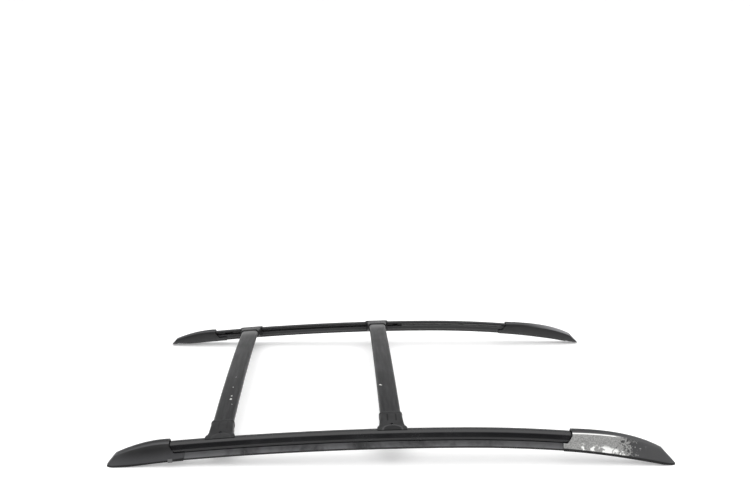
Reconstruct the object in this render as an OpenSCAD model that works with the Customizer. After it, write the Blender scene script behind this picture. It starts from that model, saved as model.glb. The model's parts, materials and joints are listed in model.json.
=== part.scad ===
// Pair of arched roof side rails with two clamp-on crossbars.
// X runs forward along the rails, Y to the left side of the vehicle and Z up.
// The origin is on the ground midway between the four cap tips.
// Rail sections are drawn in u, inward from the rail's outer base edge, and w, up from its base line.

/* [Arch and layout] */
// Distance between the rear and front cap tips
overall_length = 1720; // [1660:5:1800]
// Distance between the outer base edges of the two rails
track = 1000; // [900:5:1200]
// Height of the base line above the ground at the top of the arch
arch_rise = 61.3; // [58:0.1:66]
// Place of the top of the arch ahead of the middle
apex_x = 230; // [215:1:245]
// Radius of the base line behind the top of the arch
rear_arch_r = 9500; // [9000:50:10500]
// Radius of the base line ahead of the top of the arch
front_arch_r = 3900; // [3700:25:4200]
// Distance from the rear caps' mouths to the rear crossbar
rear_bar_gap = 156; // [130:1:240]
// Place of the front crossbar along the rails
front_bar_x = 5; // [-60:1:60]

/* [Rail extrusion] */
// Height of the rail from the base line to its crest
rail_h = 47.6; // [46.5:0.1:51]
// Width from the outer base edge to the inner face of the head
rail_w = 45.5; // [44.5:0.1:48]
// Width of the base
base_w = 34.5; // [33:0.1:36]
// Rise of the base from its outer edge to its inner edge
base_rise = 3; // [2:0.1:3.2]
// Thickness of the outer walls
rail_wall = 2.2; // [1.8:0.1:2.6]
// Height of the sloped skirt
skirt_h = 18.5; // [17:0.1:19]
// Inward lean of the skirt over its height
skirt_run = 10.5; // [9:0.1:11]
// Depth of the shadow groove above the skirt
groove_depth = 4.5; // [3:0.1:5]
// Height of the shadow groove
groove_h = 2.6; // [2:0.1:3]
// Height of the bead above the groove
bead_h = 4.2; // [3:0.1:4.6]
// Inward place of the outer shoulder
shoulder_u = 22; // [20:0.1:24]
// Height of the outer shoulder
shoulder_w = 41; // [39.5:0.1:42]
// Number of flutes in the skirt
flute_count = 5; // [3:1:6]
// Distance between flutes
flute_pitch = 3; // [2.4:0.1:3]
// Radius of a flute
flute_r = 0.9; // [0.6:0.1:1]

// Height of the web between the skirt and the head
web_h = 20.4; // [20.2:0.1:21]

/* [Crossbar channel] */
// Height of the channel floor above the base line
channel_floor = 29.5; // [29:0.1:30]
// Height of the channel mouth
channel_mouth = 10.5; // [9.8:0.1:10.8]
// Height of the undercut behind the upper lip
channel_undercut = 2.6; // [2.2:0.1:2.8]
// Depth of the channel from the inner face
channel_depth = 12.5; // [11.5:0.1:13.5]
// Length of the front locating window
front_window_l = 22; // [16:1:30]
// Length of the rear locating window
rear_window_l = 35; // [24:1:40]
// Height of the locating windows
window_h = 4.4; // [3:0.1:4.6]
// Distance from the front crossbar to its window
front_window_gap = 78; // [70:1:100]
// Distance from the rear crossbar to its window
rear_window_gap = 99; // [90:1:120]

/* [Base] */
// Thickness of the rubber base seal
seal_h = 3.8; // [3.6:0.1:4.2]
// Width of the bolt slot in the rail floor
slot_w = 9; // [8:0.1:10]
// Distance from the outer base edge to the middle of the bolt slot
slot_u = 18.5; // [18:0.1:19.5]
// Place of the rear nut plate along the rails
rear_nut_x = -270; // [-350:1:-200]
// Place of the front nut plate along the rails
front_nut_x = 150; // [100:1:200]
// Length of a nut plate
nut_l = 32; // [24:1:40]
// Width of a nut plate
nut_w = 19; // [16:0.5:22]
// Thickness of a nut plate
nut_t = 5; // [4:0.1:6]
// Tapping radius of the roof bolt threads
tap_r = 2.5; // [2:0.05:2.6]

/* [Edge clips] */
// Length of a clip on the lower edge of a rear cap
clip_l = 14; // [8:0.5:20]
// Height of a clip
clip_h = 8; // [6:0.5:10]
// Thickness of a clip
clip_t = 1.2; // [0.8:0.1:1.6]
// Distance from the rear caps' mouths ahead to their clips
clip_ahead = 6; // [0:0.5:12]

/* [End caps] */
// Wall of the moulded caps
cap_wall = 2.6; // [2.2:0.1:3]
// Gap between a cap and the rail's side
cap_gap = 0.4; // [0.3:0.05:0.7]
// Height of a cap above the rail's crest
cap_proud = 7; // [6:0.1:8]
// Length of the rear caps from mouth to tip
rear_cap_l = 189; // [183:1:200]
// Length of the front caps from mouth to tip
front_cap_l = 315; // [308:1:326]
// Reach of the rear caps' lower tab past the mouth
rear_tab = 46; // [36:1:52]
// Reach of the front caps' lower tab past the mouth
front_tab = 29; // [20:1:40]
// Height of a lower tab
tab_h = 21; // [18:0.5:23]
// Length of the sloped nose of the rear caps
rear_nose_l = 23; // [20:1:30]
// Length of the sloped nose of the front caps
front_nose_l = 41; // [35:1:48]
// Height of the rear nose where its slope starts
rear_nose_h = 31; // [28:0.5:34]
// Height of the front nose where its slope starts
front_nose_h = 48; // [44:0.5:52]
// Height of the tips
tip_h = 4; // [3:0.1:6]
// Narrowing of the rear caps from mouth to nose
rear_taper = 9; // [6:0.5:12]
// Narrowing of the front caps from mouth to nose
front_taper = 15; // [10:0.5:16]
// Rise of a cap's base from its outer edge to its inner edge at the nose
cap_lift = 9; // [6:0.5:11]
// Height of the base of the front caps where the nose starts
front_nose_low = 5; // [3:0.5:7]
// Plan radius of the tips
tip_r = 12; // [8:0.5:14]

/* [End brackets] */
// Distance from the rear tips to the rails' rear ends
rear_end_inset = 132; // [126:1:138]
// Distance from the front tips to the rails' front ends
front_end_inset = 220; // [212:1:230]
// Length of the spigot inside the rail
spigot_l = 48; // [40:1:56]
// Distance between the two roof bolts of a bracket
bolt_pitch = 46; // [40:1:50]
// Distance from a cap tip to the nearer roof bolt
bolt_inset = 64; // [62:1:68]
// Thickness of the bracket foot
bracket_t = 6; // [5:0.1:8]
// Width of the bracket foot
bracket_w = 13; // [12:0.5:13.5]
// Thickness of the bracket gasket
gasket_h = 2.2; // [1.6:0.1:3]
// Height of the underside of a rear gasket between its bolts
rear_foot_z = 9.3; // [9:0.1:10]
// Slope of a rear gasket
rear_foot_slope = 6.5; // [5:0.1:8]
// Height of the underside of a front gasket between its bolts
front_foot_z = 17.6; // [17:0.1:18.5]
// Slope of a front gasket
front_foot_slope = 11; // [9:0.1:12]
// Width of the rib that backs the cap
rib_w = 3; // [2:0.1:4]

/* [Crossbars] */
// Width of a crossbar
bar_w = 65.5; // [62:0.5:68]
// Thickness of a crossbar
bar_t = 24; // [20:0.5:26]
// Wall of a crossbar
bar_wall = 2; // [1.6:0.1:2.4]
// Rise of a crossbar's middle over its ends
bar_crown = 11; // [6:0.5:16]
// Height of a crossbar's top at its feet above the rail's base line
bar_top = 64.5; // [62:0.5:68]
// Distance between the two webs inside a crossbar
web_gap = 21; // [16:0.5:26]
// Radius of a crossbar's edges
bar_edge_r = 11; // [8:0.5:11.5]

/* [Feet] */
// Distance from the outer base edge to the foot's mouth
foot_reach = 113; // [105:0.5:120]
// Distance that a crossbar enters a foot
bar_entry = 33; // [26:0.5:36]
// Wall of the foot round the crossbar
sleeve_wall = 3; // [2.5:0.1:4]
// Half width of the foot at the rail
foot_flare = 45.5; // [43.5:0.5:50]
// Height of the foot's top edge above the rail's crest
saddle_h = 4; // [3.8:0.1:5]
// Distance from the outer base edge to the foot's outer edge
saddle_u = 28.5; // [27:0.1:30]
// Thickness of the rubber pad on the rail
pad_t = 1.5; // [1.2:0.1:1.8]
// Running gap between the crossbar set and the rails
slide_gap = 0.3; // [0.3:0.05:0.5]
// Height of the foot's lower edge above the base line
foot_low = 13; // [11:0.5:15]

/* [Clamps] */
// Length of a clamp jaw along the rail
jaw_l = 58; // [50:1:62]
// Width of a clamp jaw outside the channel
jaw_w = 15; // [14:0.5:17]
// Thickness of a clamp jaw
jaw_t = 13.5; // [10:0.5:14]
// Distance from the outer base edge to the clamp screw
screw_u = 54; // [53:0.1:56]
// Radius of the clamp screw's shank
screw_r = 2.5; // [2:0.1:3]
// Radius of the clamp screw's head
screw_head_r = 4.1; // [3.6:0.1:4.4]
// Height of the clamp screw's head
screw_head_h = 5; // [3.5:0.1:6]

/* [Hidden] */

$fn = 64;
arch_fn = 1440;
eps = 0.01;
far = 200;
fit_gap = 0.3;
corner_steps = 4;

rail_paint = "#2b2b2d";
cap_plastic = "#343434";
peeled_metal = "#9a9a98";
cast_metal = "#8d8f92";
bar_paint = "#505152";
foot_plastic = "#3c3c3c";
rubber = "#1b1b1b";
steel = "#7b7d80";

tip_x = overall_length / 2;
half_track = track / 2;
rear_mouth_x = rear_cap_l - tip_x;
front_mouth_x = tip_x - front_cap_l;
rear_bar_x = rear_mouth_x + rear_bar_gap;
rear_rail_end = rear_end_inset - tip_x;
front_rail_end = tip_x - front_end_inset;

// Direction of a vector
function unit(v) = v / norm(v);

// Points of the arc that rounds the corner at b between a and c
function corner(a, b, c, r) =
    let (
        ua = unit(a - b),
        uc = unit(c - b),
        half = acos(ua * uc) / 2,
        centre = b + unit(ua + uc) * r / sin(half),
        from = b + ua * r / tan(half) - centre,
        to = b + uc * r / tan(half) - centre,
        start = atan2(from[1], from[0]),
        turn = atan2(from[0] * to[1] - from[1] * to[0], from * to)
    )
    [for (i = [0:corner_steps])
        centre + r * [cos(start + turn * i / corner_steps), sin(start + turn * i / corner_steps)]];

// Closed outline through points given as x, y and corner radius
function rounded(p) =
    let (n = len(p), q = [for (v = p) [v[0], v[1]]])
    [for (i = [0:n - 1]) each
        p[i][2] == 0 ? [q[i]] : corner(q[(i + n - 1) % n], q[i], q[(i + 1) % n], p[i][2])];

// Outline moved outward by d, for points that run anticlockwise
function grown(p, d) =
    let (n = len(p))
    [for (i = [0:n - 1])
        let (
            e = unit(p[i] - p[(i + n - 1) % n]),
            f = unit(p[(i + 1) % n] - p[i]),
            en = [e[1], -e[0]],
            fn = [f[1], -f[0]]
        )
        p[i] + d * (en + fn) / (1 + en * fn)];

// Point at t on the cubic curve with four control points
function curve(p, t) =
    pow(1 - t, 3) * p[0] + 3 * t * pow(1 - t, 2) * p[1] + 3 * t * t * (1 - t) * p[2] + pow(t, 3) * p[3];

// Base line height and radius at a place along the rail
function arch_r(x) = x < apex_x ? rear_arch_r : front_arch_r;
function arch_z(x) = arch_rise - arch_r(x) + sqrt(pow(arch_r(x), 2) - pow(x - apex_x, 2));
function arch_angle(x) = asin((x - apex_x) / arch_r(x));

// Moves a shape from the top of the arch to the place x on it
module on_arch(x) {
    translate([apex_x, 0, arch_rise - arch_r(x)])
        rotate([0, arch_angle(x), 0])
            translate([0, 0, arch_r(x)])
                children();
}

// Sweeps a u-w section of the right rail along the base line from x0 to x1, on one side of the apex
module sweep_arc(x0, x1) {
    r = arch_r((x0 + x1) / 2);
    a0 = asin((x0 - apex_x) / r);
    a1 = asin((x1 - apex_x) / r);
    translate([apex_x, 0, arch_rise - r])
        rotate([90, 0, 0])
            rotate_extrude(start = 90 - a0, angle = a0 - a1, $fn = arch_fn)
                translate([r, half_track])
                    rotate(-90)
                        children();
}

// Sweeps a u-w section of the right rail over both arcs of the arch
module sweep_arch(x0, x1) {
    sweep_arc(apex_x, x0) children();
    sweep_arc(apex_x, x1) children();
}

// Sweeps a u-w section of the right rail along a short stretch, drawn at the top of the rear arc
module sweep_short(l) {
    half = asin(l / 2 / rear_arch_r);
    translate([0, 0, -rear_arch_r])
        rotate([90, 0, 0])
            rotate_extrude(start = 90 - half, angle = 2 * half, $fn = arch_fn)
                translate([rear_arch_r, half_track])
                    rotate(-90)
                        children();
}

// Copies a shape of the right side to the left side
module left_side() {
    mirror([0, 1, 0])
        children();
}

// Closed skin over rings with the same number of points, the first ring nearest the viewer
module skin(rings) {
    n = len(rings[0]);
    last = len(rings) - 1;
    points = [for (ring = rings) each ring];
    sides = [for (j = [0:last - 1], i = [0:n - 1])
        let (a = j * n + i, b = j * n + (i + 1) % n)
        each [[a, b, a + n], [b, b + n, a + n]]];
    polyhedron(points = points,
        faces = concat([[for (i = [n - 1:-1:0]) i]], sides, [[for (i = [0:n - 1]) last * n + i]]));
}

// Rail extrusion

skirt_slope = skirt_run / skirt_h;
bead_low = skirt_h + 0.4 + groove_h;
bead_u = skirt_run + 2.1;
lip_in = rail_w - rail_wall;
mouth_top = channel_floor + channel_mouth;
channel_top = mouth_top + channel_undercut;
channel_back = rail_w - channel_depth;
crest_u = (shoulder_u + rail_w) / 2 + 2;

rail_outline = rounded([
    [skirt_slope * seal_h, seal_h, 0.5],
    [base_w, seal_h, 1],
    [base_w + 3.5, seal_h + 7.2, 3],
    [rail_w - 1.6, web_h - 2.4, 2],
    [rail_w - 0.7, channel_floor, 0.6],
    [channel_back, channel_floor, 0.8],
    [channel_back, channel_top, 0.8],
    [lip_in, channel_top, 0.4],
    [lip_in, mouth_top, 0.4],
    [rail_w, mouth_top, 0.6],
    [rail_w - 1.3, rail_h - 1.4, 4],
    [crest_u, rail_h, 20],
    [shoulder_u + 7.5, rail_h - 0.8, 7],
    [shoulder_u, shoulder_w, 7],
    [bead_u + 4, bead_low + bead_h + 0.5, 1],
    [bead_u + 0.6, bead_low + bead_h, 1.2],
    [bead_u, bead_low, 0.8],
    [skirt_run + groove_depth, bead_low - 0.6, 0.5],
    [skirt_run + groove_depth, skirt_h + 0.4, 0.5],
    [skirt_run, skirt_h, 0.6]]);

// Chamber behind the channel and below it
head_chamber = rounded([
    [bead_u + 4.6, web_h, 0.8],
    [rail_w - 3.2, web_h, 0.8],
    [rail_w - 3, channel_floor - rail_wall, 0.8],
    [channel_back - rail_wall, channel_floor - rail_wall, 0.8],
    [channel_back - rail_wall, channel_top - 0.6, 0.8],
    [shoulder_u + 1.9, shoulder_w - 1.6, 1],
    [bead_u + 6.4, bead_low + bead_h + 1, 1],
    [bead_u + 4.6, bead_low + bead_h - 1.5, 0.8]]);

// Chamber inside the skirt, which holds the nut plates and the bracket spigots
floor_top = seal_h + rail_wall;
skirt_chamber = rounded([
    [skirt_slope * floor_top + 2.6, floor_top, 0.8],
    [base_w - 1.4, floor_top, 0.8],
    [base_w + 1.5, floor_top + 5.7, 2],
    [rail_w - 4.6, web_h - rail_wall, 0.6],
    [skirt_run + groove_depth + 2.6, web_h - rail_wall, 0.4],
    [skirt_run + groove_depth + 1.8, skirt_h - 1.9, 0.6],
    [skirt_slope * (skirt_h - 2.7) + 2.4, skirt_h - 2.7, 1]]);

module rail_section() {
    difference() {
        polygon(rail_outline);
        polygon(head_chamber);
        polygon(skirt_chamber);
        translate([slot_u - slot_w / 2, 0])
            square([slot_w, floor_top + eps]);
        flute_line();
    }
}

// Flutes spread evenly over the face of the skirt
module flute_line() {
    face = unit([skirt_run, skirt_h]);
    out = [-face[1], face[0]];
    middle = (norm([skirt_run, skirt_h]) + seal_h) / 2;
    for (i = [0:flute_count - 1])
        translate(face * (middle + (i - (flute_count - 1) / 2) * flute_pitch) + out * flute_r * 0.4)
            circle(r = flute_r, $fn = 24);
}

// Window through the back of the channel, ahead of or behind a crossbar
module window(x, l) {
    on_arch(x)
        translate([-l / 2, -half_track + channel_back - rail_wall - 1, channel_floor + 0.6])
            cube([l, rail_wall + 2, window_h]);
}

module rail() {
    color(rail_paint)
        difference() {
            sweep_arch(rear_rail_end, front_rail_end)
                rail_section();
            window(front_bar_x + front_window_gap, front_window_l);
            window(rear_bar_x - rear_window_gap, rear_window_l);
        }
}

module right_rail() {
    rail();
}

module left_rail() {
    left_side()
        rail();
}

// Seal, nut plates and edge clips

seal_ends = spigot_l + 2;
nut_places = [rear_nut_x, front_nut_x];

module seal_section() {
    difference() {
        polygon([[0, 0], [base_w - 1, base_rise], [base_w - 0.4, seal_h], [skirt_slope * seal_h, seal_h]]);
        for (i = [1:5])
            translate([base_w * i / 6, base_rise * i / 6])
                circle(r = 0.5, $fn = 20);
    }
}

module base_seal() {
    color(rubber)
        difference() {
            sweep_arch(rear_rail_end + seal_ends, front_rail_end - seal_ends)
                seal_section();
            for (x = nut_places)
                on_arch(x)
                    translate([0, -half_track + slot_u, -1])
                        cylinder(r = tap_r + 3, h = seal_h + 2);
        }
}

module nut_plates() {
    color(steel)
        for (x = nut_places)
            difference() {
                sweep_arc(x + nut_l / 2, x - nut_l / 2)
                    nut_section();
                on_arch(x)
                    translate([0, -half_track + slot_u, 0])
                        cylinder(r = tap_r, h = far / 4);
            }
}

module nut_section() {
    translate([slot_u - nut_w / 2, floor_top])
        square([nut_w, nut_t]);
}

clip_gap = 0.5;

module edge_clip() {
    color(rubber)
        on_arch(rear_mouth_x + clip_ahead)
            translate([-clip_l / 2, -half_track, 0])
                rotate([90, 0, 90])
                    linear_extrude(clip_l)
                        polygon([
                            [-cap_out - clip_gap - clip_t, -clip_gap - clip_t],
                            [2, -clip_gap - clip_t],
                            [2, -clip_gap],
                            [-cap_out - clip_gap, -clip_gap],
                            [cap_lean * clip_h - cap_out - clip_gap, clip_h],
                            [cap_lean * clip_h - cap_out - clip_gap - clip_t, clip_h]]);
}

module right_base_seal() {
    base_seal();
}

module left_base_seal() {
    left_side()
        base_seal();
}

module right_nut_plates() {
    nut_plates();
}

module left_nut_plates() {
    left_side()
        nut_plates();
}

module right_edge_clip() {
    edge_clip();
}

module left_edge_clip() {
    left_side()
        edge_clip();
}

// End caps

cap_out = (cap_wall + cap_gap) / cos(atan(skirt_slope));
cap_in = rail_w + cap_wall + cap_gap + 2.5;
cap_h = rail_h + cap_proud;

// Side curves of the caps as height over place along the rail
rear_body = rear_cap_l - rear_nose_l;
front_body = front_cap_l - front_nose_l;
rear_near = rear_mouth_x - rear_body * 0.34;
front_near = front_mouth_x + front_body * 0.37;
rear_far = rear_nose_l + rear_body * 0.29 - tip_x;
front_far = tip_x - front_nose_l - front_body * 0.29;
rear_top = [
    [rear_mouth_x, arch_z(rear_mouth_x) + cap_h],
    [rear_near, arch_z(rear_mouth_x) + cap_h - 1],
    [rear_far, rear_nose_h + 22.5],
    [rear_nose_l - tip_x, rear_nose_h]];
rear_base = [
    [rear_mouth_x, arch_z(rear_mouth_x)],
    [rear_near, arch_z(rear_near)],
    [rear_far, 0.5],
    [rear_nose_l - tip_x, 0]];
front_top = [
    [front_mouth_x, arch_z(front_mouth_x) + cap_h],
    [front_near, arch_z(front_mouth_x) + cap_h - 3],
    [front_far, front_nose_h + 42],
    [tip_x - front_nose_l, front_nose_h]];
front_base = [
    [front_mouth_x, arch_z(front_mouth_x)],
    [front_near, arch_z(front_near)],
    [front_far, front_nose_low + 16],
    [tip_x - front_nose_l, front_nose_low]];

// Section of a cap as shares of its width and height, from the outer base edge round to the inner one
cap_shares = [
    [0, 0], [0.148, 0.31], [0.296, 0.62], [0.415, 0.865], [0.44, 0.895], [0.475, 0.92],
    [0.56, 0.962], [0.68, 0.995], [0.79, 1], [0.895, 0.962], [0.968, 0.885], [1, 0.77],
    [1, 0.55], [0.975, 0.31], [0.865, 0.15], [0.75, 0]];

// Inward lean of a cap's outer side for each millimetre of height
cap_lean = cap_shares[1][0] * (cap_in + cap_out) / (cap_shares[1][1] * cap_h);

// Ring of a cap at x, between base and top heights and inward distances, with its inner edge lifted
function cap_ring(x, low, high, out, in, lift) =
    [for (s = cap_shares)
        [x, -half_track + out + s[0] * (in - out), low + s[1] * (high - low) + lift * s[0] * (1 - s[1])]];

// Rings of a cap's skin or, with a wall, of the hollow inside it
function cap_rings(top, base, tip, taper, wall) =
    let (
        dir = sign(tip - top[3][0]),
        mouth = top[0][0],
        nose = top[3][0],
        drop = wall > 0 ? 2 : 0,
        out = wall > 0 ? -cap_gap - drop * skirt_slope : -cap_out,
        in = cap_in - wall,
        steps = 16,
        start = mouth - dir * (max(rear_tab, front_tab) + 3),
        sleeve = cap_ring(start, arch_z(start) - drop, arch_z(start) + cap_h - wall, out, in, base_rise),
        body = [for (i = [0:steps])
            let (t = i / steps, p = curve(top, t), q = curve_at(base, p[0]))
            cap_ring(p[0], q - drop, p[1] - wall, out, in - taper * t * t,
                base_rise + (cap_lift - base_rise) * t)],
        point = [for (a = [0.25, 0.5, 0.7, 0.85, 0.94, 0.985, 1])
            let (pinch = tip_r * (1 - sqrt(1 - a * a)))
            cap_ring(nose + a * (tip - nose), base[3][1] * (1 - a), top[3][1] + a * (tip_h - top[3][1]),
                out + pinch, in - taper - 4 * a - 1.4 * pinch, cap_lift + (tip_h - cap_lift) * a)]
    )
    concat([sleeve], body, wall > 0 ? [] : point);

// Height of a side curve at x, found by halving
function curve_at(p, x, a = 0, b = 1, n = 18) =
    let (m = (a + b) / 2, v = curve(p, m))
    n == 0 ? v[1]
        : (v[0] - x) * (p[3][0] - p[0][0]) > 0 ? curve_at(p, x, a, m, n - 1) : curve_at(p, x, m, b, n - 1);

// Part of the side view that lies past a cap's mouth and above its tab
module mouth_cut(mouth, dir, tab) {
    translate([0, -half_track + far, 0])
        rotate([90, 0, 0])
            linear_extrude(2 * far)
                polygon([
                    [mouth, arch_z(mouth) + far],
                    [mouth, arch_z(mouth) + rail_h - 6],
                    [mouth - dir * 14, arch_z(mouth) + tab_h + 3],
                    [mouth - dir * 17, arch_z(mouth - dir * 17) + tab_h],
                    [mouth - dir * tab, arch_z(mouth - dir * tab) + tab_h],
                    [mouth - dir * tab, -1],
                    [mouth - dir * far, -1],
                    [mouth - dir * far, arch_z(mouth) + far]]);
}

// Rings in the order that turns their skin outward
function ordered(rings, dir) = dir > 0 ? rings : [for (i = [len(rings) - 1:-1:0]) rings[i]];

module cap(top, base, dir, taper, tab) {
    difference() {
        skin(ordered(cap_rings(top, base, dir * tip_x, taper, 0), dir));
        skin(ordered(cap_rings(top, base, dir * tip_x, taper, cap_wall), dir));
        mouth_cut(top[0][0], dir, tab);
    }
}

module front_cap() {
    cap(front_top, front_base, 1, front_taper, front_tab);
}

module rear_cap() {
    cap(rear_top, rear_base, -1, rear_taper, rear_tab);
}

module right_front_cap() {
    color(peeled_metal)
        front_cap();
}

module left_front_cap() {
    color(cap_plastic)
        left_side()
            front_cap();
}

module right_rear_cap() {
    color(cap_plastic)
        rear_cap();
}

module left_rear_cap() {
    color(cap_plastic)
        left_side()
            rear_cap();
}

// End brackets, gaskets and their screws

spigot_top = skirt_h - 2.7 - fit_gap;
foot_l = bolt_pitch + 22;

module spigot_section() {
    translate([slot_u - bracket_w / 2, floor_top + fit_gap])
        square([base_w - 2 - slot_u + bracket_w / 2, spigot_top - floor_top - fit_gap]);
}

function foot_slope(dir) = dir > 0 ? front_foot_slope : rear_foot_slope;
function foot_mid(dir) = [
    dir * (tip_x - bolt_inset - bolt_pitch / 2),
    dir > 0 ? front_foot_z : rear_foot_z];

// Side view point on a bracket's sloped foot, l toward the tip and h above the gasket's underside
function on_foot(dir, l, h) =
    foot_mid(dir) + [
        dir * (l * cos(foot_slope(dir)) + h * sin(foot_slope(dir))),
        h * cos(foot_slope(dir)) - l * sin(foot_slope(dir))];

// Moves its children to the middle of a bracket's sloped foot
module at_foot(dir) {
    translate([foot_mid(dir)[0], -half_track + slot_u, foot_mid(dir)[1]])
        rotate([0, dir * foot_slope(dir), 0])
            children();
}

// Side view of a bracket outside the rail, from its foot up to the spigot
module bracket_side(end, dir) {
    arm_z = arch_z(end) + floor_top + fit_gap;
    polygon([
        [end - dir, arm_z],
        [end + dir * 12, arm_z - 1],
        on_foot(dir, -foot_l / 2, gasket_h),
        on_foot(dir, foot_l / 2, gasket_h),
        on_foot(dir, foot_l / 2, gasket_h + bracket_t),
        on_foot(dir, 6 - foot_l / 2, gasket_h + bracket_t),
        [end + dir * 24, arm_z + 8],
        [end - dir, arch_z(end) + spigot_top]]);
}

rib_gap = 6.4;

// Side view of the rib that backs the cap from inside
module rib_side(top, end, dir) {
    steps = 8;
    first = end + dir * 6;
    last = foot_mid(dir)[0] + dir * (bolt_pitch / 2 + 2);
    line = [for (i = [0:steps]) let (x = first + (last - first) * i / steps)
        [x, curve_at(top, x) - cap_wall - rib_gap]];
    polygon(concat(line, [
        on_foot(dir, bolt_pitch / 2 + 1, gasket_h + 1),
        on_foot(dir, 4 - foot_l / 2, gasket_h + 1),
        [first, arch_z(end) + floor_top + fit_gap + 2]]));
}

module bracket(top, end, dir) {
    color(cast_metal)
        difference() {
            union() {
                sweep_arc(end, end - dir * spigot_l)
                    spigot_section();
                translate([0, -half_track + slot_u + bracket_w / 2, 0])
                    rotate([90, 0, 0])
                        linear_extrude(bracket_w)
                            bracket_side(end, dir);
                translate([0, -half_track + slot_u + bracket_w / 2, 0])
                    rotate([90, 0, 0])
                        linear_extrude(rib_w)
                            rib_side(top, end, dir);
            }
            at_foot(dir)
                for (l = [-bolt_pitch / 2, bolt_pitch / 2])
                    translate([l, 0, -1])
                        cylinder(r = tap_r, h = bracket_t + 40);
            for (x = bracket_screw_places(end, dir))
                on_arch(x)
                    translate([0, -half_track + slot_u, 0])
                        cylinder(r = screw_shank_r + 0.05, h = spigot_top + 5);
        }
}

function bracket_screw_places(end, dir) = [end - dir * 10, end - dir * (spigot_l - 12)];
screw_shank_r = 2.95;

// Flange screws that hold the rail to its two brackets
module bracket_screws() {
    color(steel)
        for (x = concat(bracket_screw_places(rear_rail_end, -1), bracket_screw_places(front_rail_end, 1)))
            on_arch(x)
                translate([0, -half_track + slot_u, seal_h]) {
                    translate([0, 0, -1.2])
                        cylinder(r = 7, h = 1.2);
                    translate([0, 0, -2.4])
                        cylinder(r = 5, h = 1.3, $fn = 6);
                    cylinder(r = screw_shank_r, h = 11);
                }
}

module gasket(dir) {
    color(rubber)
        at_foot(dir)
            difference() {
                translate([-foot_l / 2, -bracket_w / 2, 0])
                    cube([foot_l, bracket_w, gasket_h]);
                for (l = [-bolt_pitch / 2, bolt_pitch / 2])
                    translate([l, 0, -1])
                        cylinder(r = tap_r + 1, h = gasket_h + 2);
            }
}

module right_front_bracket() {
    bracket(front_top, front_rail_end, 1);
}

module left_front_bracket() {
    left_side()
        bracket(front_top, front_rail_end, 1);
}

module right_rear_bracket() {
    bracket(rear_top, rear_rail_end, -1);
}

module left_rear_bracket() {
    left_side()
        bracket(rear_top, rear_rail_end, -1);
}

module right_front_gasket() {
    gasket(1);
}

module left_front_gasket() {
    left_side()
        gasket(1);
}

module right_rear_gasket() {
    gasket(-1);
}

module left_rear_gasket() {
    left_side()
        gasket(-1);
}

module right_bracket_screws() {
    bracket_screws();
}

module left_bracket_screws() {
    left_side()
        bracket_screws();
}

// Crossbars, drawn at the top of the rear arc with w as height above the base line

bar_half = half_track - foot_reach + bar_entry;
mouth_y = half_track - foot_reach;
bar_r = (pow(mouth_y, 2) + pow(bar_crown, 2)) / (2 * bar_crown);

bar_outline = rounded([
    [-bar_w / 2, -bar_t, bar_edge_r - 2],
    [bar_w / 2, -bar_t, bar_edge_r - 2],
    [bar_w / 2, -0.8, bar_edge_r],
    [0, 0, 160],
    [-bar_w / 2, -0.8, bar_edge_r]]);

module bar_section() {
    difference() {
        polygon(bar_outline);
        difference() {
            polygon(grown(bar_outline, -bar_wall));
            for (x = [-web_gap / 2, web_gap / 2])
                translate([x - bar_wall / 2, -bar_t])
                    square([bar_wall, bar_t]);
        }
    }
}

// Sweeps a section of the crossbar over its crown from the middle to y
module sweep_crown(y) {
    translate([0, 0, bar_top + bar_crown - bar_r])
        rotate([0, -90, 0])
            rotate_extrude(start = 0, angle = asin(y / bar_r), $fn = arch_fn)
                translate([bar_r, 0])
                    rotate(-90)
                        children();
}

bar_screw_x = 14;
bar_screw_u = foot_reach - 14;

// Height of the crossbar's top at a distance u from the outer base edge
function bar_top_at(u) = bar_top + bar_crown - bar_r + sqrt(pow(bar_r, 2) - pow(half_track - u, 2));

// Places a shape under the crossbar at each of its four screws
module at_bar_screws() {
    for (x = [-bar_screw_x, bar_screw_x], side = [0, 1])
        mirror([0, side, 0])
            translate([x, -half_track + bar_screw_u, bar_top_at(bar_screw_u) - bar_t])
                children();
}

module bar() {
    color(bar_paint)
        difference() {
            union() {
                sweep_crown(bar_half)
                    bar_section();
                sweep_crown(-bar_half)
                    bar_section();
            }
            at_bar_screws()
                translate([0, 0, -2])
                    cylinder(r = screw_r - 0.4, h = bar_wall + 5);
        }
}

// Pan head screws that hold the feet to the crossbar from below
module bar_screws() {
    color(steel)
        at_bar_screws()
            translate([0, 0, -sleeve_wall]) {
                cylinder(r = screw_r - 0.45, h = sleeve_wall + bar_wall + 2);
                translate([0, 0, -2.2])
                    cylinder(r = 4, h = 2.2);
            }
}

// Feet

// Rounded rectangle of a foot in x and w with half width a, top t and bottom b,
// upper corners rt high and rt + flat wide and lower corners of radius rb
function foot_ring(u, a, t, b, rt, rb, flat = 0) =
    [for (c = [
            [a - rb, b + rb, rb, rb, -90],
            [a - rt - flat, t - rt, rt + flat, rt, 0],
            [rt + flat - a, t - rt, rt + flat, rt, 90],
            [rb - a, b + rb, rb, rb, 180]],
        i = [0:5])
        [c[0] + c[2] * cos(c[4] + i * 18), -half_track + u, c[1] + c[3] * sin(c[4] + i * 18)]];

// Distance from the outer base edge at a share s of the sleeve's length
function sleeve_u(s) = rail_w + 14 + s * (foot_reach - rail_w - 14);

saddle_top = rail_h + saddle_h;
sleeve_a = bar_w / 2 + sleeve_wall + 0.3;
sleeve_top = bar_top + sleeve_wall - 0.5;
sleeve_low = bar_top - bar_t - sleeve_wall - 1;

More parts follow.
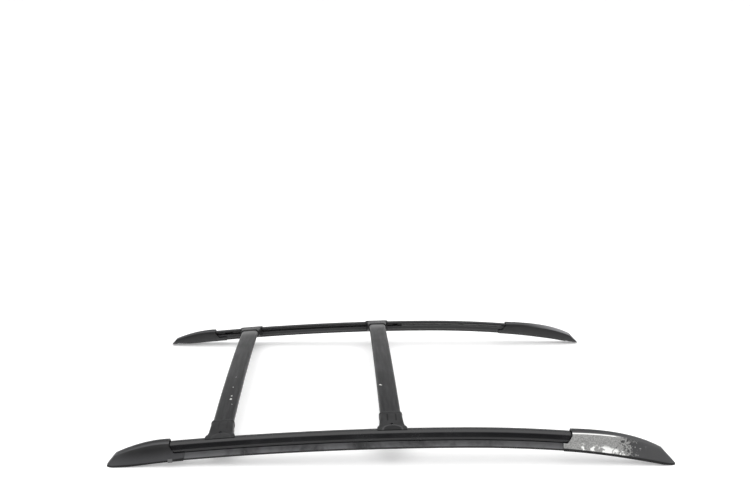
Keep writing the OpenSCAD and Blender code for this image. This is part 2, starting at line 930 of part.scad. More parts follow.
// Skin of a foot, with a raised rim round the mouth of its sleeve
module foot_skin() {
    skin([
        foot_ring(saddle_u, foot_flare - 1.6, saddle_top - 2, foot_low, 1, 1.5, 14),
        foot_ring(saddle_u + 1, foot_flare - 0.5, saddle_top - 1, foot_low, 1.2, 2, 15),
        foot_ring(saddle_u + 4, foot_flare, saddle_top, foot_low, 1.5, 2.5, 16),
        foot_ring(rail_w - 7, foot_flare, saddle_top + 0.8, foot_low, 2, 3, 16),
        foot_ring(rail_w, foot_flare - 1.6, saddle_top + 1.5, foot_low, 3, 3, 14),
        foot_ring(rail_w + 6, foot_flare - 4.6, saddle_top + 2.4, foot_low, 6, 4, 8),
        foot_ring(sleeve_u(0), sleeve_a + 2.8, saddle_top + 3.8, foot_low + 1, 8, 5, 4),
        foot_ring(sleeve_u(0.2), sleeve_a + 1.2, sleeve_top - 6.6, foot_low + 5, 10, 6, 1),
        foot_ring(sleeve_u(0.44), sleeve_a + 0.3, sleeve_top - 3.6, sleeve_low - 11, 11, 7),
        foot_ring(sleeve_u(0.74), sleeve_a - 0.1, sleeve_top - 1.2, sleeve_low - 3, 12, 8),
        foot_ring(foot_reach - 8, sleeve_a - 0.4, sleeve_top - 0.6, sleeve_low - 1.2, 12, 8),
        foot_ring(foot_reach - 6.8, sleeve_a + 0.5, sleeve_top + 0.4, sleeve_low - 0.8, 12, 8),
        foot_ring(foot_reach - 1, sleeve_a + 0.5, sleeve_top + 0.5, sleeve_low - 0.5, 12, 8),
        foot_ring(foot_reach, sleeve_a - 0.3, sleeve_top - 0.2, sleeve_low + 0.3, 11, 7)]);
}

// Outline of the rail's head with all below it filled, grown by d
function head_filled(d) = grown(rounded([
    [0, -20, 0],
    [rail_w, -20, 0],
    [rail_w, rail_h - 7.2, 2],
    [rail_w - 1.3, rail_h - 1.4, 4],
    [crest_u, rail_h, 20],
    [shoulder_u + 7.5, rail_h - 0.8, 7],
    [shoulder_u, shoulder_w, 7],
    [0, 10, 0]]), d);

// Space that the rail and its pad take under the foot
module head_space(d) {
    sweep_short(2 * foot_flare + 20)
        polygon(head_filled(d));
}

jaw_top = mouth_top - 0.6;
jaw_low = jaw_top - jaw_t;
head_seat = jaw_top + 7;

module foot() {
    color(foot_plastic)
        difference() {
            foot_skin();
            head_space(slide_gap + pad_t);
            translate([-far, -half_track - far, -far])
                cube([2 * far, far + rail_w + 2 * slide_gap, far + shoulder_w + 2]);
            sweep_crown_pocket();
            translate([-jaw_l / 2 - 1, -half_track + rail_w - 1, 0])
                cube([jaw_l + 2, jaw_w + 2.5, jaw_top + 1.5]);
            translate([0, -half_track + screw_u, 0])
                rotate(7) {
                    cylinder(r = screw_r + 0.4, h = far / 2);
                    translate([0, 0, head_seat])
                        cylinder(r = screw_head_r + 0.3, h = far / 2);
                }
            for (x = [-bar_screw_x, bar_screw_x])
                translate([x, -half_track + bar_screw_u, bar_top_at(bar_screw_u) - bar_t])
                    rotate(7) {
                        translate([0, 0, -sleeve_wall - 1])
                            cylinder(r = screw_r - 0.1, h = sleeve_wall + 2);
                        translate([0, 0, -20 - sleeve_wall])
                            cylinder(r = 4.6, h = 20);
                    }
        }
}

// Pocket in the foot for the end of the crossbar
module sweep_crown_pocket() {
    intersection() {
        sweep_crown(-half_track)
            polygon(grown(bar_outline, 0.15));
        translate([-far, -bar_half - 0.2, 0])
            cube([2 * far, far, far]);
    }
}

module foot_pad() {
    color(rubber)
        sweep_short(2 * foot_flare - 8)
            pad_section();
}

module pad_section() {
    intersection() {
        difference() {
            polygon(head_filled(slide_gap + pad_t));
            polygon(head_filled(slide_gap));
        }
        translate([saddle_u + 1, rail_h - 7])
            square([rail_w - saddle_u - 1.2, 20]);
    }
}

// Clamp jaws and their screws

module jaw_section() {
    polygon([
        [channel_back + slide_gap + 0.7, channel_floor + 2.2],
        [rail_w + slide_gap + 0.2, channel_floor + 2.2],
        [rail_w + slide_gap + 0.2, jaw_low],
        [rail_w + slide_gap + jaw_w - 1.5, jaw_low],
        [rail_w + slide_gap + jaw_w, jaw_low + 1.5],
        [rail_w + slide_gap + jaw_w, jaw_top],
        [lip_in - slide_gap, jaw_top],
        [lip_in - slide_gap, channel_top - slide_gap],
        [channel_back + slide_gap + 0.7, channel_top - slide_gap]]);
}

module jaw() {
    color(cast_metal)
        difference() {
            sweep_short(jaw_l)
                jaw_section();
            translate([0, -half_track + screw_u, 0])
                cylinder(r = screw_r + 0.02, h = far / 2);
        }
}

module clamp_screw() {
    color(steel)
        translate([0, -half_track + screw_u, 0])
            difference() {
                union() {
                    translate([0, 0, jaw_low - 2])
                        cylinder(r = screw_r, h = head_seat - jaw_low + 3);
                    translate([0, 0, head_seat])
                        cylinder(r = screw_head_r, h = screw_head_h);
                }
                translate([0, 0, head_seat + screw_head_h - 3])
                    cylinder(r = 2.3, h = 4, $fn = 6);
            }
}

module front_bar() {
    on_arch(front_bar_x)
        bar();
}

module rear_bar() {
    on_arch(rear_bar_x)
        bar();
}

module front_bar_screws() {
    on_arch(front_bar_x)
        bar_screws();
}

module rear_bar_screws() {
    on_arch(rear_bar_x)
        bar_screws();
}

module front_right_foot() {
    on_arch(front_bar_x)
        foot();
}

module front_left_foot() {
    on_arch(front_bar_x)
        left_side()
            foot();
}

module rear_right_foot() {
    on_arch(rear_bar_x)
        foot();
}

module rear_left_foot() {
    on_arch(rear_bar_x)
        left_side()
            foot();
}

module front_right_pad() {
    on_arch(front_bar_x)
        foot_pad();
}

module front_left_pad() {
    on_arch(front_bar_x)
        left_side()
            foot_pad();
}

module rear_right_pad() {
    on_arch(rear_bar_x)
        foot_pad();
}

module rear_left_pad() {
    on_arch(rear_bar_x)
        left_side()
            foot_pad();
}

module front_right_jaw() {
    on_arch(front_bar_x)
        jaw();
}

module front_left_jaw() {
    on_arch(front_bar_x)
        left_side()
            jaw();
}

module rear_right_jaw() {
    on_arch(rear_bar_x)
        jaw();
}

module rear_left_jaw() {
    on_arch(rear_bar_x)
        left_side()
            jaw();
}

module front_right_screw() {
    on_arch(front_bar_x)
        clamp_screw();
}

module front_left_screw() {
    on_arch(front_bar_x)
        left_side()
            clamp_screw();
}

module rear_right_screw() {
    on_arch(rear_bar_x)
        clamp_screw();
}

module rear_left_screw() {
    on_arch(rear_bar_x)
        left_side()
            clamp_screw();
}

right_rail();
left_rail();
right_front_cap();
left_front_cap();
right_rear_cap();
left_rear_cap();
right_front_bracket();
left_front_bracket();
right_rear_bracket();
left_rear_bracket();
right_front_gasket();
left_front_gasket();
right_rear_gasket();
left_rear_gasket();
right_bracket_screws();
left_bracket_screws();
right_base_seal();
left_base_seal();
right_nut_plates();
left_nut_plates();
right_edge_clip();
left_edge_clip();
front_bar();
rear_bar();
front_bar_screws();
rear_bar_screws();
front_right_foot();
front_left_foot();
rear_right_foot();
rear_left_foot();
front_right_pad();
front_left_pad();
rear_right_pad();
rear_left_pad();
front_right_jaw();
front_left_jaw();
rear_right_jaw();
rear_left_jaw();
front_right_screw();
front_left_screw();
rear_right_screw();
rear_left_screw();
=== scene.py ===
"""Looks of an arched roof rail pair with two clamp-on crossbars.

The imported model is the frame. Every piece of it gets a smooth-shaded copy with the
finish of its real material, and the studio round it has a pale floor and soft light.
"""

import json
import logging
import math
from dataclasses import dataclass, field
from enum import Enum
from functools import partial, reduce

import bmesh
import bpy
from mathutils import Matrix, Vector


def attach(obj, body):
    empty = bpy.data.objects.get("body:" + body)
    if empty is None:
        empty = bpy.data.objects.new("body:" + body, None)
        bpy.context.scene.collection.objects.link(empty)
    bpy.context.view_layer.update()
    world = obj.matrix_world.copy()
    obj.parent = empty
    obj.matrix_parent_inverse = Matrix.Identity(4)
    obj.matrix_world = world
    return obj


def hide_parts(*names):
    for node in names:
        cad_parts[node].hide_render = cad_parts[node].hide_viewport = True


LOG = logging.getLogger("roof_rails")
PHOTO_WIDTH_PX = 750

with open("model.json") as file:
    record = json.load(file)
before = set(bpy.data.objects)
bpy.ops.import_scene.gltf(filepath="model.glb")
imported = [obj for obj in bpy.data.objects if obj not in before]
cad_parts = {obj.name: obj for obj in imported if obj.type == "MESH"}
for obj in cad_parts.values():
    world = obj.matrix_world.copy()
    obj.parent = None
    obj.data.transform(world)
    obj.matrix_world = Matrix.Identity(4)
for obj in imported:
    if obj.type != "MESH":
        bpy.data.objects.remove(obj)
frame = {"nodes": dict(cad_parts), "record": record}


class Slot(Enum):
    """Material slots of the record."""

    RAIL = "rail_finish"
    BAR = "bar_finish"
    CAP = "cap_plastic"
    FOOT = "foot_plastic"
    CLIP = "clip_plastic"
    SEAL = "seal_rubber"
    BRACKET = "bracket_metal"
    STEEL = "plated_steel"


class Kind(Enum):
    """What a node of a finish does.

    Each value holds Blender's type, its settings, the inputs in use, in order and named as
    the add function takes them, and the output.
    """

    SUM = ("ShaderNodeMath", {"operation": "ADD"}, "i0 i1", "Value")
    DIFFERENCE = ("ShaderNodeMath", {"operation": "SUBTRACT"}, "i0 i1", "Value")
    PRODUCT = ("ShaderNodeMath", {"operation": "MULTIPLY"}, "i0 i1", "Value")
    RATIO = ("ShaderNodeMath", {"operation": "DIVIDE"}, "i0 i1", "Value")
    POWER = ("ShaderNodeMath", {"operation": "POWER"}, "i0 i1", "Value")
    ROOT = ("ShaderNodeMath", {"operation": "SQRT"}, "i0", "Value")
    SIZE = ("ShaderNodeMath", {"operation": "ABSOLUTE"}, "i0", "Value")
    SIGN = ("ShaderNodeMath", {"operation": "SIGN"}, "i0", "Value")
    LARGEST = ("ShaderNodeMath", {"operation": "MAXIMUM"}, "i0 i1", "Value")
    IS_OVER = ("ShaderNodeMath", {"operation": "GREATER_THAN"}, "i0 i1", "Value")
    DISTANCE = ("ShaderNodeVectorMath", {"operation": "DISTANCE"}, "i0 i1", "Value")
    EASED = ("ShaderNodeMapRange", {"interpolation_type": "SMOOTHSTEP"}, "i0 i1 i2 i3 i4", "Result")
    BLEND = ("ShaderNodeMix", {"data_type": "RGBA"}, "i0 i6 i7", 2)
    STRETCH = ("ShaderNodeMapping", {}, "Scale Vector", "Vector")
    NOISE = ("ShaderNodeTexNoise", {}, "Scale Detail Roughness Vector", "Fac")
    CELLS = ("ShaderNodeTexVoronoi", {}, "Scale Vector", "Distance")
    BUMP = ("ShaderNodeBump", {}, "Height Distance Normal", "Normal")


class Side(Enum):
    """Sides of the vehicle: the right one is near the camera."""

    RIGHT = "right"
    LEFT = "left"


class Place(Enum):
    """Ends of the rails and places of the crossbars."""

    FRONT = "front"
    REAR = "rear"


def linear(hex_colour: str) -> tuple[float, float, float, float]:
    """Turns an sRGB hex colour into linear RGBA.

    Args:
        hex_colour: Colour as "#rrggbb".

    Returns:
        Linear red, green, blue and an alpha of 1.
    """
    channels = [int(hex_colour[i:i + 2], 16) / 255 for i in (1, 3, 5)]
    return (*[c / 12.92 if c <= 0.04045 else ((c + 0.055) / 1.055) ** 2.4 for c in channels], 1.0)


def per_metre(millimetres: float) -> float:
    """Returns a texture scale whose features are this many millimetres across."""
    return 1000 / millimetres


def metres(millimetres: float) -> float:
    """Returns a length in metres."""
    return millimetres / 1000


def add(tree: bpy.types.NodeTree, kind: str, settings: dict | None = None,
        **inputs: object) -> bpy.types.Node:
    """Adds a shader node, sets it, fills its inputs and links them.

    Args:
        tree: Node tree that gets the node.
        kind: Blender's node type.
        settings: Property names with their values.
        **inputs: Input name, with _ for a space, or i and a number, to a socket, value or hex colour.

    Returns:
        The new node.
    """
    node = tree.nodes.new(kind)
    for key, value in (settings or {}).items():
        setattr(node, key, value)
    for key, value in inputs.items():
        socket = node.inputs[int(key[1:])] if key[1:].isdigit() else node.inputs[key.replace("_", " ")]
        if isinstance(value, bpy.types.NodeSocket):
            tree.links.new(value, socket)
        else:
            socket.default_value = linear(value) if isinstance(value, str) else value
    return node


@dataclass(frozen=True)
class Arch:
    """Side view of the rails' base line: two arcs that meet at its top, in metres."""

    apex_x: float = 0.230
    rise: float = 0.0613
    rear_r: float = 9.5
    front_r: float = 3.9


@dataclass(frozen=True)
class BaseLine:
    """Lower outer edge of a cap in side view, as a parabola in metres.

    It runs through (x0, z0), its chord from there to x1 has the slope, and the bend is its
    second-order term, per metre.
    """

    x0: float
    z0: float
    slope: float
    x1: float
    bend: float


# Places of the crossbars along the rails. All lengths and places are in metres unless named _mm
REAR_BAR_X = -0.515
FRONT_BAR_X = 0.005

# Chips in the crossbars' paint: place in plan and radius
REAR_BAR_CHIPS = (
    (-0.515, -0.167, 0.0018),
    (-0.512, -0.231, 0.0024),
    (-0.512, -0.253, 0.0038),
    (-0.515, -0.089, 0.0012),
    (-0.504, -0.289, 0.0012),
)
FRONT_BAR_CHIPS = ((-0.0185, -0.204, 0.0030), (-0.014, -0.207, 0.0018))

# Fluted skirt of the rails: its height, least distance from the middle, blurs of its borders, and
# the paler painted reflection at its foot
SKIRT_H = 0.0187
SKIRT_Y = 0.488
SKIRT_SIDE_BLUR = 0.002
SKIRT_TOP_BLUR = 0.0003
SKIRT_FOOT_H = 0.001
SKIRT_FOOT_REFLECTION = "#656567"

# Black band along the caps' lower edge; the same black is painted shade in the feet's creases and hollows
LIP_H = 0.0050
LIP_BLUR = 0.0004
LIP_AND_SHADE_BLACK = "#0d0d0e"

# On the caps, a grey fades upward between two heights and is fainter on the inner side. Painted
# highlights lie on ridge and nose: the rises and fall are how far a surface faces up where they come and go
LOW_GREY_TOP_H = 0.040
LOW_GREY_FOOT_H = 0.006
LOW_GREY_TURN = 0.2
INNER_LOW_GREY = 0.3
RIDGE_HIGHLIGHT = "#3c3c3e"
RIDGE_RISE = (0.55, 0.78)
RIDGE_FALL = (0.97, 0.86)
NOSE_HIGHLIGHT = "#858587"
NOSE_RISE = (0.12, 0.36)
NOSE_X = (0.60, 0.80)

# Painted shade in the creases on the sleeves: distance from the sleeve's middle, half width, share of
# it that is fully dark, where they start and end, and how dark they are
CREASE_X = 0.013
CREASE_W = 0.0036
CREASE_CORE = 0.3
CREASE_FROM_Y = 0.398
CREASE_TO_Y = 0.436
CREASE_FADE = 0.006
CREASE_SHADE = 0.9

# Painted shade of a hollow at the back of a foot: half length, half width and distance of its
# middle. The blurs of its edge and of the pale ring round it, a painted highlight, are shares of its size
HOLLOW_A = 0.027
HOLLOW_B = 0.021
HOLLOW_Y = 0.4735
HOLLOW_EDGE = (1.06, 0.94)
HOLLOW_RING = (1.24, 1.14)
HOLLOW_RING_HIGHLIGHT = "#464647"
SHADED_GLOSS_LOSS = 0.7

# Mouths of the feet, and where the painted sheen on the bars starts to brighten towards the left one
MOUTH_Y = 0.387
END_SHEEN_Y = 0.28
END_SHEEN_POWER = 3.0

# Back wall, lip, floor and roof of the inner channels, blurs of the painted reflection, where it starts
CHANNEL_Y = 0.4676
CHANNEL_LIP_Y = 0.4562
CHANNEL_LOW = 0.0290
CHANNEL_HIGH = 0.0395
CHANNEL_BACK_BLUR = 0.0003
CHANNEL_LIP_BLUR = 0.001
CHANNEL_BLUR = 0.0002
CHANNEL_SHEEN_FROM_X = 0.107
CHANNEL_SHEEN_FADE = 0.006
CHANNEL_SHEEN_BEHIND = 0.1

# Lower edges of the caps
FRONT_LINE = BaseLine(0.545, 0.0486, -0.1338, 0.690, -0.196)
REAR_LINE = BaseLine(-0.671, 0.0186, 0.130, -0.757, 0.225)


@dataclass
class Shading:
    """A material under construction, with the masks and measures that the finishes share."""

    name: str
    base: dict = field(default_factory=dict)
    raggedness: float = 2.2
    spot_blur: float = 0.15

    def __post_init__(self) -> None:
        """Makes the material, its shader and its coordinates."""
        self.material = bpy.data.materials.new(self.name)
        self.material.use_nodes = True
        self.tree = self.material.node_tree
        self.shader = self.tree.nodes["Principled BSDF"]
        for socket, value in self.base.items():
            self.shader.inputs[socket].default_value = value
        coords = add(self.tree, "ShaderNodeTexCoord").outputs
        self.coords = coords["Object"]
        self.place = add(self.tree, "ShaderNodeSeparateXYZ", Vector=self.coords).outputs
        self.facing = add(self.tree, "ShaderNodeSeparateXYZ", Vector=coords["Normal"]).outputs

    def make(self, kind: Kind, *terms: object) -> bpy.types.NodeSocket:
        """Adds a node to the material.

        A pattern reads the object's coordinates unless it gets others.

        Args:
            kind: What the node does.
            *terms: Sockets, numbers or hex colours for its inputs, in the order of the kind.

        Returns:
            The node's output.
        """
        node_type, settings, inputs, output = kind.value
        links = dict(zip(inputs.split(), terms))
        if "Vector" in inputs:
            links.setdefault("Vector", self.coords)
        return add(self.tree, node_type, settings, **links).outputs[output]

    def joined(self, *shares: object) -> bpy.types.NodeSocket:
        """Multiplies several shares, so that what is left lies in all of them."""
        return reduce(partial(self.make, Kind.PRODUCT), shares)

    def off_middle(self) -> bpy.types.NodeSocket:
        """Returns the distance from the middle of the set to either side, in metres."""
        return self.make(Kind.SIZE, self.place["Y"])

    def facing_out(self) -> bpy.types.NodeSocket:
        """Returns how far the surface faces away from the middle of the set, where 1 is outward."""
        return self.make(Kind.PRODUCT, self.facing["Y"], self.make(Kind.SIGN, self.place["Y"]))

    def cap_grey_and_highlights(self, colour: bpy.types.NodeSocket, line: BaseLine, low_grey: str,
                      nose_highlight: str) -> bpy.types.NodeSocket:
        """Adds a grey low down, mostly outside, and painted highlights on the ridge and nose of a cap.

        Args:
            colour: The cap's own colour.
            line: The cap's lower edge.
            low_grey: Colour of the grey low down.
            nose_highlight: Colour of the painted highlight on the front cap's nose.

        Returns:
            The colour with the grey and the painted highlights.
        """
        up = self.facing["Z"]
        low = self.make(Kind.EASED, self.above_line(line), LOW_GREY_TOP_H, LOW_GREY_FOOT_H)
        outside = self.make(Kind.EASED, self.facing_out(), -LOW_GREY_TURN, LOW_GREY_TURN, INNER_LOW_GREY, 1)
        colour = self.make(Kind.BLEND, self.make(Kind.PRODUCT, low, outside), colour, low_grey)
        # Painted highlights: the ridge and, on the front caps, the nose are lighter where they face up
        rise, fall = self.make(Kind.EASED, up, *RIDGE_RISE), self.make(Kind.EASED, up, *RIDGE_FALL)
        colour = self.make(Kind.BLEND, self.make(Kind.PRODUCT, rise, fall), colour, RIDGE_HIGHLIGHT)
        ahead, rise = self.make(Kind.EASED, self.place["X"], *NOSE_X), self.make(Kind.EASED, up, *NOSE_RISE)
        return self.make(Kind.BLEND, self.make(Kind.PRODUCT, ahead, rise), colour, nose_highlight)

    def above_arc(self, arch: Arch, radius: float) -> bpy.types.NodeSocket:
        """Measures the height above one arc of the arch.

        Args:
            arch: The rails' arch.
            radius: The arc's radius in metres.

        Returns:
            The height in metres.
        """
        centre = (arch.apex_x, 0, arch.rise - radius)
        flat = self.make(Kind.STRETCH, (1, 0, 1))
        return self.make(Kind.DIFFERENCE, self.make(Kind.DISTANCE, flat, centre), radius)

    def above_arch(self, arch: Arch) -> bpy.types.NodeSocket:
        """Measures the height above the rails' base line.

        Args:
            arch: The rails' arch.

        Returns:
            The height in metres.
        """
        ahead = self.make(Kind.IS_OVER, self.place["X"], arch.apex_x)
        behind = self.make(Kind.DIFFERENCE, 1.0, ahead)
        rear = self.make(Kind.PRODUCT, behind, self.above_arc(arch, arch.rear_r))
        front = self.make(Kind.PRODUCT, ahead, self.above_arc(arch, arch.front_r))
        return self.make(Kind.SUM, rear, front)

    def above_line(self, line: BaseLine) -> bpy.types.NodeSocket:
        """Measures the height above a cap's lower edge.

        Args:
            line: The lower edge.

        Returns:
            The height in metres.
        """
        run = self.make(Kind.DIFFERENCE, self.place["X"], line.x0)
        past = self.make(Kind.DIFFERENCE, self.place["X"], line.x1)
        straight = self.make(Kind.PRODUCT, run, line.slope)
        bent = self.joined(run, past, line.bend)
        edge = self.make(Kind.SUM, self.make(Kind.SUM, straight, bent), line.z0)
        return self.make(Kind.DIFFERENCE, self.place["Z"], edge)

    def near(self, centre: tuple[float, float], radius: float,
             wobble: bpy.types.NodeSocket) -> bpy.types.NodeSocket:
        """Marks a ragged spot, seen from above.

        Args:
            centre: Middle of the spot in plan, in metres.
            radius: Its radius in metres.
            wobble: Noise that makes its edge ragged.

        Returns:
            1 inside the spot and 0 outside.
        """
        flat = self.make(Kind.STRETCH, (1, 1, 0))
        gap = self.make(Kind.DISTANCE, flat, (*centre, 0))
        edge = self.make(Kind.PRODUCT, self.make(Kind.DIFFERENCE, wobble, 0.5), radius * self.raggedness)
        outer, inner = radius * (1 + self.spot_blur), radius * (1 - self.spot_blur)
        return self.make(Kind.EASED, self.make(Kind.SUM, gap, edge), outer, inner)

    def connect(self, **links: bpy.types.NodeSocket) -> bpy.types.Material:
        """Links outputs to the shader's inputs.

        Args:
            **links: Input name, with _ for a space, to an output socket.

        Returns:
            The finished material.
        """
        for key, output in links.items():
            self.tree.links.new(output, self.shader.inputs[key.replace("_", " ")])
        return self.material


@dataclass(frozen=True)
class PowderCoat:
    """Satin polyester powder coat on an extruded aluminium section.

    The powder flows into a faint orange peel, and road film leaves broad, slightly lighter
    and duller patches. On the rails, a painted reflection lightens the skirt and the floor of
    the inner channel. The crossbars are streaked along their length, chipped in a few spots
    and carry a painted sheen that brightens towards their left ends.
    """

    name: str
    colour: str
    film: str
    roughness: float
    specular: float = 0.5
    skirt_reflection: str = ""
    chips: tuple[tuple[float, float, float], ...] = ()
    chip_colour: str = "#e9e9e6"
    end_sheen: str = ""
    streaks: float = 0.0
    streak_mm: float = 9
    streak_colour: str = "#333335"
    channel_reflection: str = ""
    peel_mm: float = 1.6
    peel_depth_mm: float = 0.012
    film_mm: float = 120
    film_range: tuple[float, float] = (0.4, 0.68)
    film_dulls: float = 0.08
    dust_mm: float = 3.5
    dust_range: tuple[float, float, float, float] = (0.62, 0.78, 0, 0.35)
    dust_colour: str = "#77777a"
    streak_range: tuple[float, float] = (0.38, 0.68)
    streak_stretch: tuple[float, float, float] = (1, 0.07, 1)
    ragged_mm: float = 2.5

    def material(self) -> bpy.types.Material:
        """Makes the finish.

        Returns:
            The material.
        """
        look = Shading(self.name, {"Specular IOR Level": self.specular, "IOR": 1.5})
        film = look.make(Kind.EASED, look.make(Kind.NOISE, per_metre(self.film_mm), 5, 0.6), *self.film_range)
        dust_and_sheen = look.make(Kind.EASED, look.make(Kind.NOISE, per_metre(self.dust_mm), 3, 0.7), *self.dust_range)
        colour = look.make(Kind.BLEND, film, self.colour, self.film)
        colour = look.make(Kind.BLEND, look.make(Kind.PRODUCT, dust_and_sheen, film), colour, self.dust_colour)
        if self.streaks:
            drawn_out = look.make(Kind.STRETCH, self.streak_stretch)
            rubbed = look.make(Kind.NOISE, per_metre(self.streak_mm), 4, 0.7, drawn_out)
            share = look.make(Kind.EASED, rubbed, *self.streak_range, 0, self.streaks)
            colour = look.make(Kind.BLEND, share, colour, self.streak_colour)
        # Painted reflection: the fluted skirt is paler, most of all at its foot
        if self.skirt_reflection:
            colour = look.make(Kind.BLEND, self.on_skirt(look), colour, self.skirt_reflection_colour(look, film))
        # Painted reflection: the floor of the inner channel is lighter, mostly ahead of the front window
        if self.channel_reflection:
            colour = look.make(Kind.BLEND, self.in_channel(look), colour, self.channel_reflection)
        # Painted reflection: the bars grow lighter towards their left ends
        if self.end_sheen:
            end = look.make(Kind.EASED, look.place["Y"], END_SHEEN_Y, MOUTH_Y)
            end = look.make(Kind.POWER, end, END_SHEEN_POWER)
            colour = look.make(Kind.BLEND, end, colour, self.end_sheen)
        if self.chips:
            colour = look.make(Kind.BLEND, self.chipped(look), colour, self.chip_colour)
        rough = look.make(Kind.SUM, look.make(Kind.PRODUCT, film, self.film_dulls), self.roughness)
        peel = look.make(Kind.NOISE, per_metre(self.peel_mm), 1)
        normal = look.make(Kind.BUMP, peel, metres(self.peel_depth_mm))
        return look.connect(Base_Color=colour, Roughness=rough, Normal=normal)

    def on_skirt(self, look: Shading) -> bpy.types.NodeSocket:
        """Finds the fluted skirt on the outer side of the rails.

        Args:
            look: The material's helper.

        Returns:
            1 on the skirt and 0 elsewhere.
        """
        outside = look.make(Kind.EASED, look.off_middle(), SKIRT_Y - SKIRT_SIDE_BLUR, SKIRT_Y)
        height = look.above_arch(Arch())
        below = look.make(Kind.EASED, height, SKIRT_H + SKIRT_TOP_BLUR, SKIRT_H - SKIRT_TOP_BLUR)
        return look.make(Kind.PRODUCT, outside, below)

    def skirt_reflection_colour(self, look: Shading, film: bpy.types.NodeSocket) -> bpy.types.NodeSocket:
        """Grades the painted reflection on the skirt, paler towards its foot.

        Args:
            look: The material's helper.
            film: Share of road film.

        Returns:
            The colour of the painted reflection on the skirt.
        """
        low = look.make(Kind.EASED, look.above_arch(Arch()), SKIRT_H, SKIRT_FOOT_H)
        dust_and_sheen = look.make(Kind.BLEND, low, self.skirt_reflection, SKIRT_FOOT_REFLECTION)
        return look.make(Kind.BLEND, film, dust_and_sheen, self.film)

    def chipped(self, look: Shading) -> bpy.types.NodeSocket:
        """Marks the chips in the paint.

        Args:
            look: The material's helper.

        Returns:
            1 inside a chip and 0 elsewhere.
        """
        ragged = look.make(Kind.NOISE, per_metre(self.ragged_mm), 3, 0.7)
        spots = [look.near(chip[:2], chip[2], ragged) for chip in self.chips]
        return reduce(partial(look.make, Kind.LARGEST), spots)

    def in_channel(self, look: Shading) -> bpy.types.NodeSocket:
        """Finds where a painted reflection lightens the inner channel: mostly ahead of the front locating
        window.

        Args:
            look: The material's helper.

        Returns:
            Share of painted reflection, from 0 to 1.
        """
        out = look.off_middle()
        height = look.above_arch(Arch())
        return look.joined(
            look.make(Kind.EASED, out, CHANNEL_Y + CHANNEL_BACK_BLUR, CHANNEL_Y),
            look.make(Kind.EASED, out, CHANNEL_LIP_Y, CHANNEL_LIP_Y + CHANNEL_LIP_BLUR),
            look.make(Kind.EASED, height, CHANNEL_LOW - CHANNEL_BLUR, CHANNEL_LOW + CHANNEL_BLUR),
            look.make(Kind.EASED, height, CHANNEL_HIGH + CHANNEL_BLUR, CHANNEL_HIGH - CHANNEL_BLUR),
            look.make(Kind.EASED, look.place["X"], CHANNEL_SHEEN_FROM_X, CHANNEL_SHEEN_FROM_X + CHANNEL_SHEEN_FADE, CHANNEL_SHEEN_BEHIND, 1))


